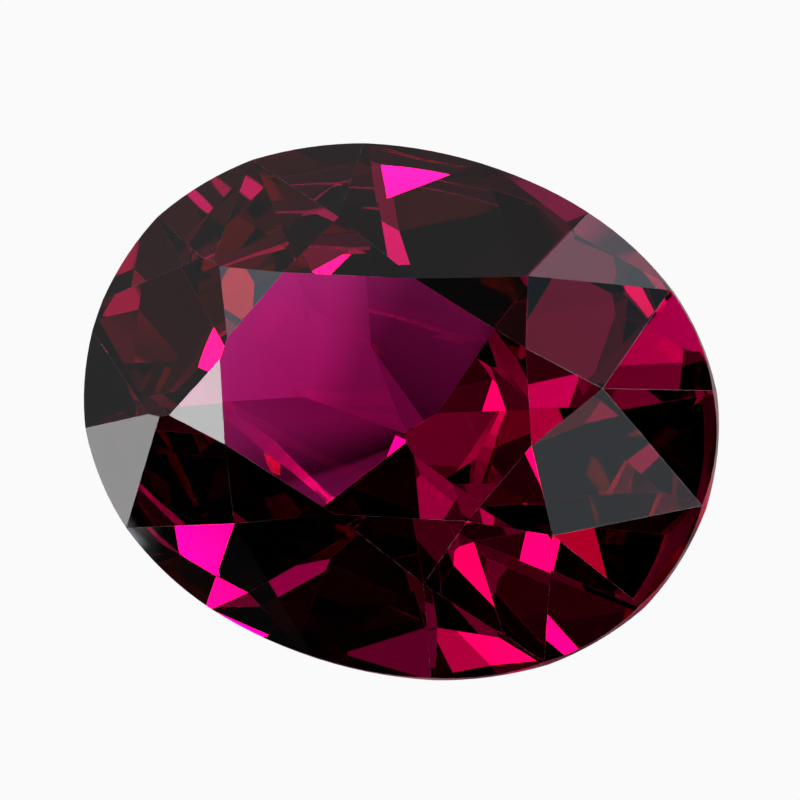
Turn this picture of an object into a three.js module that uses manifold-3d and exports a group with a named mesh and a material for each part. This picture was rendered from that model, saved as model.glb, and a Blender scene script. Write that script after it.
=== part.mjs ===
// Cut and polished oval garnet, lying on one of its lower facets.
// Millimetres, +Z up. The stone is one solid: an oval blank from which a flat lap takes one facet after another.
// It is cut in its own frame, where X runs along the oval, Z points out of the table and the upper edge of
// the girdle is at z = 0. Then it is laid on its resting facet.

import * as THREE from "three";
import { mergeVertices } from "three/addons/utils/BufferGeometryUtils.js";
import Module from "manifold-3d";

// The oval
const LENGTH = 10;
const WIDTH = 7.83;
const OVAL_POWER = 2.12; // 2 is an ellipse, more is fuller at the shoulders
const OVAL_SIDES = 128;
const GIRDLE = 0.26; // height of the band where two facet corners meet on it

// Places on the oval, in degrees of its parameter in the first quarter
const END = 0;
const CORNER = 47.5;
const SIDE = 90;
const END_TO_CORNER = 24.2;
const CORNER_TO_SIDE = 69.5;

// Crown: the facets above the girdle
const TABLE_HEIGHT = 1.23;
const KITE_SLOPE = { end: 26.8, corner: 29.9, side: 30.9 };
const CORNER_DIRECTION = 53; // compass direction of a corner kite, from the long axis
const KITE_MEET = { end: 0.27, side: 0.277 }; // how far down the crown two kites stop touching
const TABLE_CORNER_SHIFT = 0.22; // along the corner kite's upper edge
const DEEPER_END_KITE = 0.032; // one end kite is cut a little deeper, so its tip at the table is an edge

// Pavilion: the eight main facets below the girdle, in order round the oval.
// slope is from the girdle's plane, turn is the error in direction, low is how far below the girdle it ends.
const MAINS = [
  { slope: 30, turn: -0.5, low: 0.05 },
  { slope: 34, turn: -2, low: 0 },
  { slope: 36, turn: 9, low: 0.1 },
  { slope: 32.6, turn: -3.5, low: 0.2 },
  { slope: 33.8, turn: -0.5, low: 0.3 },
  { slope: 36.6, turn: 5.5, low: 0.05 },
  { slope: 40, turn: 0, low: 0 },
  { slope: 35.8, turn: -5, low: 0.1 },
];
const REST = 6; // the main facet that the stone lies on
// Depth below the girdle at which two neighbouring mains stop touching, one per pair
const RIDGE_DEPTH = [1.8, 0.9, 2.2, 2.5, 1.3, 0.9, 1.3, 2.4];

const LAP = 40; // side of the block that is taken away above a facet

const rad = THREE.MathUtils.degToRad;
const wasm = await Module();
wasm.setup();

function toSolid(geometry) {
  const bare = geometry.clone();
  bare.deleteAttribute("normal");
  bare.deleteAttribute("uv");
  const merged = mergeVertices(bare, 1e-6);
  return new wasm.Manifold(
    new wasm.Mesh({
      numProp: 3,
      vertProperties: new Float32Array(merged.attributes.position.array),
      triVerts: new Uint32Array(merged.index.array),
    })
  );
}

function toGeometry(solid) {
  const mesh = solid.getMesh();
  const geometry = new THREE.BufferGeometry();
  geometry.setAttribute("position", new THREE.BufferAttribute(new Float32Array(mesh.vertProperties), 3));
  geometry.setIndex(new THREE.BufferAttribute(new Uint32Array(mesh.triVerts), 1));
  return geometry;
}

// A point of the oval at a parameter angle, any quarter
function ovalPoint(degrees, z = 0) {
  const c = Math.cos(rad(degrees));
  const s = Math.sin(rad(degrees));
  const power = 2 / OVAL_POWER;
  const x = (LENGTH / 2) * Math.sign(c) * Math.abs(c) ** power;
  const y = (WIDTH / 2) * Math.sign(s) * Math.abs(s) ** power;
  return new THREE.Vector3(x, y, z);
}

// A facet's plane from its slope, its compass direction and a point on it. up is 1 on the crown, -1 below.
function sloped(slope, direction, point, up) {
  const normal = new THREE.Vector3(
    Math.sin(rad(slope)) * Math.cos(rad(direction)),
    Math.sin(rad(slope)) * Math.sin(rad(direction)),
    Math.cos(rad(slope)) * up
  );
  return new THREE.Plane().setFromNormalAndCoplanarPoint(normal, point);
}

// A facet's plane through three meeting points
function through(a, b, c, up) {
  const plane = new THREE.Plane().setFromCoplanarPoints(a, b, c);
  return plane.normal.z * up < 0 ? plane.negate() : plane;
}

function level(z) {
  return new THREE.Plane(new THREE.Vector3(0, 0, 1), -z);
}

// The one point that three planes share
function meet(a, b, c) {
  const bc = b.normal.clone().cross(c.normal);
  const ca = c.normal.clone().cross(a.normal);
  const ab = a.normal.clone().cross(b.normal);
  const size = a.normal.dot(bc);
  return new THREE.Vector3()
    .addScaledVector(bc, -a.constant)
    .addScaledVector(ca, -b.constant)
    .addScaledVector(ab, -c.constant)
    .divideScalar(size);
}

function mirrored(plane, sx, sy) {
  const normal = plane.normal.clone().multiply(new THREE.Vector3(sx, sy, 1));
  return new THREE.Plane(normal, plane.constant);
}

function crownPlanes() {
  const end = ovalPoint(END);
  const corner = ovalPoint(CORNER);
  const side = ovalPoint(SIDE);
  const nearEnd = ovalPoint(END_TO_CORNER);
  const nearSide = ovalPoint(CORNER_TO_SIDE);

  const endKite = sloped(KITE_SLOPE.end, 0, end, 1);
  const cornerKite = sloped(KITE_SLOPE.corner, CORNER_DIRECTION, corner, 1);
  const sideKite = sloped(KITE_SLOPE.side, 90, side, 1);

  const tableEnd = new THREE.Vector3(end.x - TABLE_HEIGHT / Math.tan(rad(KITE_SLOPE.end)), 0, TABLE_HEIGHT);
  const tableSide = new THREE.Vector3(0, side.y - TABLE_HEIGHT / Math.tan(rad(KITE_SLOPE.side)), TABLE_HEIGHT);
  const inward = TABLE_HEIGHT / Math.tan(rad(KITE_SLOPE.corner));
  const cos = Math.cos(rad(CORNER_DIRECTION));
  const sin = Math.sin(rad(CORNER_DIRECTION));
  const tableCorner = new THREE.Vector3(
    corner.x - inward * cos - TABLE_CORNER_SHIFT * sin,
    corner.y - inward * sin + TABLE_CORNER_SHIFT * cos,
    TABLE_HEIGHT
  );

  const endMeet = meet(endKite, cornerKite, level(TABLE_HEIGHT * (1 - KITE_MEET.end)));
  const sideMeet = meet(cornerKite, sideKite, level(TABLE_HEIGHT * (1 - KITE_MEET.side)));

  const quarter = [
    cornerKite,
    through(tableEnd, endMeet, tableCorner, 1),
    through(tableCorner, sideMeet, tableSide, 1),
    through(endMeet, end, nearEnd, 1),
    through(endMeet, nearEnd, corner, 1),
    through(sideMeet, corner, nearSide, 1),
    through(sideMeet, nearSide, side, 1),
  ];

  const deeper = mirrored(endKite, -1, 1);
  deeper.constant += DEEPER_END_KITE;
  const planes = [level(TABLE_HEIGHT), endKite, deeper, sideKite, mirrored(sideKite, 1, -1)];
  for (const sx of [1, -1]) {
    for (const sy of [1, -1]) {
      for (const plane of quarter) planes.push(mirrored(plane, sx, sy));
    }
  }
  return planes;
}

// Places on one half of the oval, and the same again on the other half
function bothHalves(degrees) {
  return [...degrees, ...degrees.map((place) => place + 180)];
}

function pavilionPlanes() {
  const places = bothHalves([END, CORNER, SIDE, 180 - CORNER]);
  const directions = bothHalves([0, CORNER_DIRECTION, 90, 180 - CORNER_DIRECTION]);
  const between = bothHalves([END_TO_CORNER, CORNER_TO_SIDE, 180 - CORNER_TO_SIDE, 180 - END_TO_CORNER]);

  const corners = places.map((degrees) => ovalPoint(degrees, -GIRDLE));
  const middles = between.map((degrees) => ovalPoint(degrees, -GIRDLE));
  const mains = MAINS.map((cut, i) => {
    const point = corners[i].clone();
    point.z -= cut.low;
    return sloped(cut.slope, directions[i] + cut.turn, point, -1);
  });

  const planes = [...mains];
  for (let i = 0; i < MAINS.length; i++) {
    const next = (i + 1) % MAINS.length;
    const ridgeEnd = meet(mains[i], mains[next], level(-GIRDLE - RIDGE_DEPTH[i]));
    planes.push(through(corners[i], middles[i], ridgeEnd, -1));
    planes.push(through(middles[i], corners[next], ridgeEnd, -1));
  }
  return { mains, planes };
}

function blank() {
  const shape = new THREE.Shape();
  for (let i = 0; i < OVAL_SIDES; i++) {
    const p = ovalPoint((360 * i) / OVAL_SIDES);
    if (i === 0) shape.moveTo(p.x, p.y);
    else shape.lineTo(p.x, p.y);
  }
  shape.closePath();
  const depth = WIDTH + TABLE_HEIGHT;
  const geometry = new THREE.ExtrudeGeometry(shape, { depth, bevelEnabled: false, steps: 1 });
  geometry.translate(0, 0, TABLE_HEIGHT + 0.5 - depth);
  return toSolid(geometry);
}

// The block that the lap takes away on the outer side of a plane
function waste(plane) {
  const block = new THREE.BoxGeometry(LAP, LAP, LAP);
  block.translate(0, 0, LAP / 2);
  block.applyQuaternion(new THREE.Quaternion().setFromUnitVectors(new THREE.Vector3(0, 0, 1), plane.normal));
  const foot = plane.normal.clone().multiplyScalar(-plane.constant);
  block.translate(foot.x, foot.y, foot.z);
  return toSolid(block);
}

const pavilion = pavilionPlanes();
let stone = blank();
for (const plane of [...crownPlanes(), ...pavilion.planes]) {
  stone = stone.subtract(waste(plane));
}

// Lay the stone on its resting facet and centre it over the origin
const geometry = toGeometry(stone);
const down = new THREE.Vector3(0, 0, -1);
geometry.applyQuaternion(new THREE.Quaternion().setFromUnitVectors(pavilion.mains[REST].normal, down));
geometry.computeBoundingBox();
const box = geometry.boundingBox;
geometry.translate(-(box.min.x + box.max.x) / 2, -(box.min.y + box.max.y) / 2, -box.min.z);
const flat = geometry.toNonIndexed();
flat.computeVertexNormals();

const garnet = new THREE.Mesh(
  flat,
  new THREE.MeshStandardMaterial({ color: 0x5c0a35, roughness: 0.04, metalness: 0 })
);
garnet.name = "faceted_garnet";

const part = new THREE.Group();
part.name = "oval_faceted_garnet";
part.add(garnet);

export default part;
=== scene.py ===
import math
from collections import namedtuple

import bmesh
import bpy
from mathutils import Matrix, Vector


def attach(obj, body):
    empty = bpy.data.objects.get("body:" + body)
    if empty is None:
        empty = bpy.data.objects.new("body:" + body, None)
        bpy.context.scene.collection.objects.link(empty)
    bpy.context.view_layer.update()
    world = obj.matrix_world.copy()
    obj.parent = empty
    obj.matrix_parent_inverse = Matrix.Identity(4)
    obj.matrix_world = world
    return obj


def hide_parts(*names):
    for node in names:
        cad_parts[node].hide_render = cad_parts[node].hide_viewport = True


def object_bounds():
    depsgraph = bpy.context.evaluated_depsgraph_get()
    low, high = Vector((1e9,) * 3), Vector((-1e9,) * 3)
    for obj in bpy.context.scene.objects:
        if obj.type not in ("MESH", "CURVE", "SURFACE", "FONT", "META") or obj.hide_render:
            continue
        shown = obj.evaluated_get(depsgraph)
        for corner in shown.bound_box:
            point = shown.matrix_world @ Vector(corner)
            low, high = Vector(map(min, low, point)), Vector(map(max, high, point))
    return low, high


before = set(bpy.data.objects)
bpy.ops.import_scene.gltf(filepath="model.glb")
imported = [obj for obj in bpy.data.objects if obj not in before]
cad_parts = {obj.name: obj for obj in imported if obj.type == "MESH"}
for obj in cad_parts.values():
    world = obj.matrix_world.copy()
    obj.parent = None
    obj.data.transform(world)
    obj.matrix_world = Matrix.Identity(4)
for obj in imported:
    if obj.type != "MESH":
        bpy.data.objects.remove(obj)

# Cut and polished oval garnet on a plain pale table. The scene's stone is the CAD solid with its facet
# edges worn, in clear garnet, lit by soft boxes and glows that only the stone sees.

low_before, high_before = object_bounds()

MM = 0.001
WHITE = (1, 1, 1, 1)
NODE = "faceted_garnet"
BOX_MIDDLE = (Vector(low_before) + Vector(high_before)) / 2
STONE_MIDDLE = BOX_MIDDLE + Vector((0, -0.083, 0.1)) * MM  # middle of the oval, at the girdle's upper edge
TABLE_LEAN = math.radians(40)
TABLE_NORMAL = Vector((0, -math.sin(TABLE_LEAN), math.cos(TABLE_LEAN)))

# Camera: the photograph's direction, in degrees
CAMERA_AZIMUTH = 24.76
CAMERA_ELEVATION = 43.15
CAMERA_DISTANCE = 200 * MM
CAMERA_SENSOR = 36  # mm
PICTURE_MIDDLE = BOX_MIDDLE + Vector((0, 0.023, 0.203)) * MM
PICTURE_WIDTH = 11.995 * MM
NEAREST_SEEN = 10 * MM
FARTHEST_SEEN = 10000 * MM

# Garnet
REFRACTION = 1.76
ABSORPTION_COLOUR = (0.89, 0.03, 0.69)
ABSORPTION_DENSITY = 1200
POLISH_ROUGHNESS = 0.012
POLISH_MARKS = {"scale": 2500, "detail": 3, "from": 0.45, "to": 0.75}
GIRDLE_ROUGHNESS = 0.32
WORN_ROUGHNESS = 0.25
WORN_WHITE = 0.15  # how much of a worn edge is chipped white, at the most
WORN_CHIPS = {"scale": 900, "detail": 2, "from": 0.4, "to": 0.7}

# Facets and edges
SAME_POINT = 0.004 * MM
SAME_FACET = math.radians(0.8)
FACET_ANGLE = math.radians(6)  # facets meet at more than this; the sides of the girdle at less
EDGE = 0.011 * MM  # half the width of the narrow worn strip along an edge between facets
GIRDLE_LEAN = 0.2  # sine of the lean from upright, in the stone's own frame, below which a face is girdle

# Floor
FLOOR_SIZE = 4000 * MM
FLOOR_GRAIN = 60
FLOOR_WHITES = (0.95, 0.962)
FLOOR_ROUGHNESS = 0.9

LIGHT_BOUNCES = 24

# Soft boxes. Angles are in degrees as the stone sees them, level is brightness, and blue is how much
# of it there is for one part of red.
LAMP_DISTANCE = 400 * MM
SoftBox = namedtuple("SoftBox", "azimuth elevation width height level blue")
SOFT_BOXES = {
    # Pale reflections on the crown
    "shine_table_corner": SoftBox(-57, 24, 14, 9, 6, 1),
    "shine_table_edge": SoftBox(-77, 38, 8, 8, 0.65, 1.6),
    "shine_right_kite": SoftBox(52, 41, 14, 8, 0.45, 1.2),
    "shine_upper_right_kite": SoftBox(168, 61, 12, 10, 0.9, 1.3),
    "shine_right_side": SoftBox(134, 71, 12, 10, 0.15, 1.6),
    # Crimson that shows through the stone
    "crimson_right_side": SoftBox(-97, 53, 43, 16, 0.4, 1.6),
    "crimson_right_rim": SoftBox(-60, 54, 6, 5, 1.2, 1.4),
    "crimson_lower_right": SoftBox(-51, 30, 27, 8, 0.32, 1.6),
    "crimson_top": SoftBox(95, 68, 12, 24, 2.4, 1.6),
    "crimson_upper_right_kite": SoftBox(-33, 45.2, 16, 7.2, 0.4, 1.6),
    "crimson_bottom": SoftBox(-38, 30.5, 5, 5, 1.5, 1),
    "crimson_middle": SoftBox(-53, 34, 5, 3.4, 2, 1.5),
    "crimson_right": SoftBox(-13, 56, 5, 5, 2, 0.6),
    # Small bright lamps for the magenta sparkles
    "sparkle_left": SoftBox(52, 31, 5, 5, 20, 1.2),
    "sparkle_lower_left_a": SoftBox(64, 40, 8, 7, 14, 1),
    "sparkle_lower_left_b": SoftBox(34.5, 28, 5, 6, 12, 1),
    "sparkle_lower_left_c": SoftBox(39, 57, 5, 5, 1, 1.6),
    "sparkle_top": SoftBox(74, 77, 8, 8, 14, 1),
    "sparkle_table_top": SoftBox(25, 17, 5, 5, 2.5, 1.6),
    "sparkle_right": SoftBox(-37, 36.5, 5, 4, 12, 1),
    "sparkle_lower_right": SoftBox(-32, 19.5, 4, 6, 14, 1),
    "sparkle_window": SoftBox(105, 63, 8, 8, 20, 1.4),
}

# Painted light on the table top, as the stone sees it: pools of light, and painted shade of the stone's
# shadow around them. A glow's middle lies at a distance in mm from under the stone's middle; half_length
# is measured away from the stone and half_width across, both in mm.
GLOW_SIZE = 400 * MM  # of the card that carries the glows
GLOW_DEPTH = 0.01 * MM  # below the floor
GLOW_SOFTNESS = 0.35  # how far in from its rim a glow reaches its level, as a share of its radius
PAINTED_SHADE_LEVEL = 0.002  # brightness outside the glows, a painted shade where the stone's shadow falls on the table
Glow = namedtuple("Glow", "azimuth distance half_length half_width level blue")
TABLE_GLOWS = {
    "window_left": Glow(-107, 3.3, 1.9, 3.8, 0.6, 0.8),
    "window_right": Glow(115, 0.4, 1.3, 4.4, 0.31, 0.8),
    "window_bottom": Glow(-166, 37, 36, 44, 0.61, 0.8),
    "window_corner": Glow(-145, 12, 8, 1.4, 4, 1),
    "left_end": Glow(-62, 20, 17, 3, 3, 1),
    "left_kite": Glow(138, 7.8, 1.8, 5.5, 0.6, 1),
    "upper_left_patch": Glow(81, 3.8, 0.7, 0.6, 2.2, 1.6),
    "upper_left_rim": Glow(94, 6.6, 0.9, 0.9, 1.2, 1.4),
    "right_patch": Glow(-57, 6.6, 1, 1, 2, 1.2),
    "upper_left": Glow(100, 4, 44, 2.2, 0.05, 1),
    "lower_left": Glow(-35, 3.7, 6.7, 2.6, 0.02, 1),
}

# Dim light of the room: the direction it is brightest in, and the cosines between which it fades in
ROOM_RADIUS = 900 * MM
ROOM_SMOOTHNESS = 4
ROOM_AZIMUTH = -115
ROOM_ELEVATION = 2
ROOM_FADE = (0.1, 0.5)
ROOM_LEVEL = 0.22
ROOM_BLUE = 1.05


def direction(azimuth, elevation):
    """Direction from the stone, in degrees. Azimuth 0 is towards -Y, and it grows towards +X."""
    a = math.radians(azimuth)
    e = math.radians(elevation)
    return Vector((math.sin(a) * math.cos(e), -math.cos(a) * math.cos(e), math.sin(e)))


def tint(blue):
    """Light whose blue is this much of its red, with its green between them."""
    return (1, (1 + blue) / 2, blue)


def link(name, data):
    item = bpy.data.objects.new(name, data)
    bpy.context.scene.collection.objects.link(item)
    return item


def square(name, size, height):
    h = size / 2
    mesh = bpy.data.meshes.new(name)
    mesh.from_pydata([(-h, -h, 0), (h, -h, 0), (h, h, 0), (-h, h, 0)], [], [(0, 1, 2, 3)])
    item = link(name, mesh)
    item.location.z = height
    return item


class Nodes:
    """A material's or world's node tree, with short calls for adding and joining nodes."""

    def __init__(self, owner, output, shader):
        owner.use_nodes = True
        self.tree = owner.node_tree
        self.tree.nodes.clear()
        self.output = self.add(output)
        self.shader = self.add(shader)
        self.join(self.shader.outputs[0], self.output.inputs["Surface"])

    def add(self, kind, **values):
        node = self.tree.nodes.new(kind)
        for name, value in values.items():
            setattr(node, name, value)
        return node

    def join(self, source, target):
        self.tree.links.new(source, target)

    def place(self):
        return self.add("ShaderNodeTexCoord").outputs["Object"]

    def calculate(self, operation, a, b):
        node = self.add("ShaderNodeMath", operation=operation)
        for socket, value in zip(node.inputs, (a, b)):
            if isinstance(value, (int, float)):
                socket.default_value = value
            else:
                self.join(value, socket)
        return node.outputs[0]

    def ramp(self, value, low, high, to_low, to_high, interpolation="LINEAR"):
        node = self.add("ShaderNodeMapRange", interpolation_type=interpolation)
        self.join(value, node.inputs["Value"])
        node.inputs["From Min"].default_value = low
        node.inputs["From Max"].default_value = high
        node.inputs["To Min"].default_value = to_low
        node.inputs["To Max"].default_value = to_high
        return node.outputs["Result"]

    def marks(self, place, kind, most):
        """Noise on the surface: nothing in most places, rising to the most in some."""
        noise = self.add("ShaderNodeTexNoise")
        self.join(place, noise.inputs["Vector"])
        noise.inputs["Scale"].default_value = kind["scale"]
        noise.inputs["Detail"].default_value = kind["detail"]
        return self.ramp(noise.outputs["Fac"], kind["from"], kind["to"], 0, most)

    def face_mark(self, name):
        return self.add("ShaderNodeAttribute", attribute_name=name).outputs["Fac"]


def new_material(name, shader):
    material = bpy.data.materials.new(name)
    return material, Nodes(material, "ShaderNodeOutputMaterial", shader)


def add_camera():
    data = bpy.data.cameras.new("camera")
    data.sensor_width = CAMERA_SENSOR
    data.lens = data.sensor_width * CAMERA_DISTANCE / PICTURE_WIDTH
    data.clip_start = NEAREST_SEEN
    data.clip_end = FARTHEST_SEEN
    camera = link("camera", data)
    back = direction(CAMERA_AZIMUTH, CAMERA_ELEVATION)
    camera.location = PICTURE_MIDDLE + back * CAMERA_DISTANCE
    camera.rotation_euler = back.to_track_quat("Z", "Y").to_euler()
    bpy.context.scene.camera = camera


def garnet_material():
    material, nodes = new_material("garnet", "ShaderNodeBsdfPrincipled")
    surface = nodes.shader.inputs
    surface["Base Color"].default_value = WHITE
    surface["IOR"].default_value = REFRACTION

    # Polish marks on the facets, the ground girdle, and the worn edges that are chipped here and there
    place = nodes.place()
    edge = nodes.face_mark("edge")
    polish = nodes.marks(place, POLISH_MARKS, POLISH_ROUGHNESS)
    ground = nodes.calculate("MULTIPLY", nodes.face_mark("girdle"), GIRDLE_ROUGHNESS)
    worn = nodes.calculate("MULTIPLY", edge, WORN_ROUGHNESS)
    rough = nodes.calculate("ADD", nodes.calculate("ADD", polish, ground), worn)
    nodes.join(rough, surface["Roughness"])
    white = nodes.marks(place, WORN_CHIPS, WORN_WHITE)
    clear = nodes.calculate("SUBTRACT", 1, nodes.calculate("MULTIPLY", edge, white))
    nodes.join(clear, surface["Transmission Weight"])

    absorption = nodes.add("ShaderNodeVolumeAbsorption")
    absorption.inputs["Color"].default_value = (*ABSORPTION_COLOUR, 1)
    absorption.inputs["Density"].default_value = ABSORPTION_DENSITY
    nodes.join(absorption.outputs["Volume"], nodes.output.inputs["Volume"])
    return material


def build_stone():
    shape = bmesh.new()
    shape.from_mesh(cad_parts[NODE].data)
    bmesh.ops.remove_doubles(shape, verts=shape.verts, dist=SAME_POINT)
    bmesh.ops.dissolve_limit(shape, angle_limit=SAME_FACET, verts=shape.verts, edges=shape.edges)
    girdle = shape.faces.layers.float.new("girdle")
    edge = shape.faces.layers.float.new("edge")
    for face in shape.faces:
        face[girdle] = abs(face.normal.dot(TABLE_NORMAL)) < GIRDLE_LEAN
    sharp = [line for line in shape.edges if line.calc_face_angle(0) > FACET_ANGLE]
    strips = bmesh.ops.bevel(shape, geom=sharp, offset=EDGE, segments=1, affect="EDGES", clamp_overlap=True)
    for face in strips["faces"]:
        face[edge] = 1
        face[girdle] = 0
    bmesh.ops.recalc_face_normals(shape, faces=shape.faces)
    mesh = bpy.data.meshes.new("polished_stone")
    shape.to_mesh(mesh)
    shape.free()
    mesh.materials.append(garnet_material())
    stone = link("polished_stone", mesh)
    stone.visible_diffuse = False
    stone.visible_shadow = False
    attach(stone, "root")
    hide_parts(NODE)


def add_floor():
    material, nodes = new_material("pale_floor", "ShaderNodeBsdfPrincipled")
    surface = nodes.shader.inputs
    surface["Roughness"].default_value = FLOOR_ROUGHNESS
    surface["Specular IOR Level"].default_value = 0
    grain = nodes.add("ShaderNodeTexNoise")
    grain.inputs["Scale"].default_value = FLOOR_GRAIN
    colour = nodes.add("ShaderNodeValToRGB")
    for stop, white in zip(colour.color_ramp.elements, FLOOR_WHITES):
        stop.color = (white, white, white, 1)
    nodes.join(grain.outputs["Fac"], colour.inputs["Fac"])
    nodes.join(colour.outputs["Color"], surface["Base Color"])
    floor = square("floor", FLOOR_SIZE, 0)
    floor.data.materials.append(material)
    floor.visible_glossy = False
    floor.visible_transmission = False


def seen_but_not_sampled(material):
    """Rays find this glow by themselves, which is cleaner on polished facets than aiming at it."""
    material.cycles.emission_sampling = "NONE"


def only_for_the_stone(item):
    """The stone reflects and refracts this light, and nothing else is lit by it."""
    item.visible_camera = False
    item.visible_diffuse = False
    item.visible_shadow = False
    item.visible_volume_scatter = False


def glow_light(nodes, place, spot):
    """Coloured light of one glow on the card: its full level inside, fading to nothing at its rim."""
    away = direction(spot.azimuth, 0)
    mapping = nodes.add("ShaderNodeMapping", vector_type="TEXTURE")
    mapping.inputs["Location"].default_value = away * spot.distance * MM
    mapping.inputs["Rotation"].default_value = (0, 0, math.atan2(away.y, away.x))
    mapping.inputs["Scale"].default_value = (spot.half_length * MM, spot.half_width * MM, 1)
    nodes.join(place, mapping.inputs["Vector"])
    blob = nodes.add("ShaderNodeTexGradient", gradient_type="SPHERICAL")
    nodes.join(mapping.outputs["Vector"], blob.inputs["Vector"])
    level = nodes.ramp(blob.outputs["Fac"], 0, GLOW_SOFTNESS, 0, spot.level, "SMOOTHSTEP")
    coloured = nodes.add("ShaderNodeVectorMath", operation="SCALE")
    coloured.inputs[0].default_value = tint(spot.blue)
    nodes.join(level, coloured.inputs["Scale"])
    return coloured.outputs[0]


def add_table_glow():
    # The card glows with painted light of the table top, with painted shade of the stone's shadow outside
    # the glows
    material, nodes = new_material("table_glow", "ShaderNodeEmission")
    place = nodes.place()
    total = None
    for spot in TABLE_GLOWS.values():
        added = nodes.add("ShaderNodeVectorMath", operation="ADD")
        if total is None:
            added.inputs[0].default_value = [PAINTED_SHADE_LEVEL] * 3
        else:
            nodes.join(total, added.inputs[0])
        nodes.join(glow_light(nodes, place, spot), added.inputs[1])
        total = added.outputs[0]
    nodes.join(total, nodes.shader.inputs["Color"])
    card = square("table_glow", GLOW_SIZE, -GLOW_DEPTH)
    card.location.x = STONE_MIDDLE.x
    card.location.y = STONE_MIDDLE.y
    card.data.materials.append(material)
    seen_but_not_sampled(material)
    only_for_the_stone(card)


def add_room():
    material, nodes = new_material("room_light", "ShaderNodeEmission")
    towards = nodes.add("ShaderNodeVectorMath", operation="NORMALIZE")
    nodes.join(nodes.place(), towards.inputs[0])
    along = nodes.add("ShaderNodeVectorMath", operation="DOT_PRODUCT")
    along.inputs[1].default_value = direction(ROOM_AZIMUTH, ROOM_ELEVATION)
    nodes.join(towards.outputs["Vector"], along.inputs[0])
    level = nodes.ramp(along.outputs["Value"], *ROOM_FADE, 0, ROOM_LEVEL, "SMOOTHSTEP")
    nodes.shader.inputs["Color"].default_value = (*tint(ROOM_BLUE), 1)
    nodes.join(level, nodes.shader.inputs["Strength"])

    shape = bmesh.new()
    bmesh.ops.create_icosphere(shape, subdivisions=ROOM_SMOOTHNESS, radius=ROOM_RADIUS)
    below = [v for v in shape.verts if v.co.z < -GLOW_DEPTH]
    bmesh.ops.delete(shape, geom=below, context="VERTS")
    mesh = bpy.data.meshes.new("room_light")
    shape.to_mesh(mesh)
    shape.free()
    mesh.materials.append(material)
    seen_but_not_sampled(material)
    room = link("room_light", mesh)
    only_for_the_stone(room)


def add_world():
    """White behind the stone and in the floor's light, and nothing in the stone itself."""
    world = bpy.data.worlds.new("studio")
    bpy.context.scene.world = world
    nodes = Nodes(world, "ShaderNodeOutputWorld", "ShaderNodeBackground")
    nodes.shader.inputs["Color"].default_value = WHITE
    world.cycles_visibility.glossy = False
    world.cycles_visibility.transmission = False


def span(angle):
    """Width of a lamp that covers this angle as the stone sees it."""
    return 2 * LAMP_DISTANCE * math.tan(math.radians(angle / 2))


def add_soft_boxes():
    for name, box in SOFT_BOXES.items():
        data = bpy.data.lights.new(name, "AREA")
        data.shape = "RECTANGLE"
        data.size = span(box.width)
        data.size_y = span(box.height)
        data.energy = box.level * math.pi * data.size * data.size_y
        data.color = tint(box.blue)
        lamp = link(name, data)
        towards = direction(box.azimuth, box.elevation)
        lamp.location = STONE_MIDDLE + towards * LAMP_DISTANCE
        lamp.rotation_euler = towards.to_track_quat("Z", "Y").to_euler()
        only_for_the_stone(lamp)


def set_light_paths():
    scene = bpy.context.scene
    scene.cycles.max_bounces = LIGHT_BOUNCES
    scene.cycles.transmission_bounces = LIGHT_BOUNCES
    scene.cycles.glossy_bounces = LIGHT_BOUNCES
    scene.view_settings.view_transform = "Standard"


add_camera()
build_stone()
add_floor()
add_world()
add_table_glow()
add_room()
add_soft_boxes()
set_light_paths()
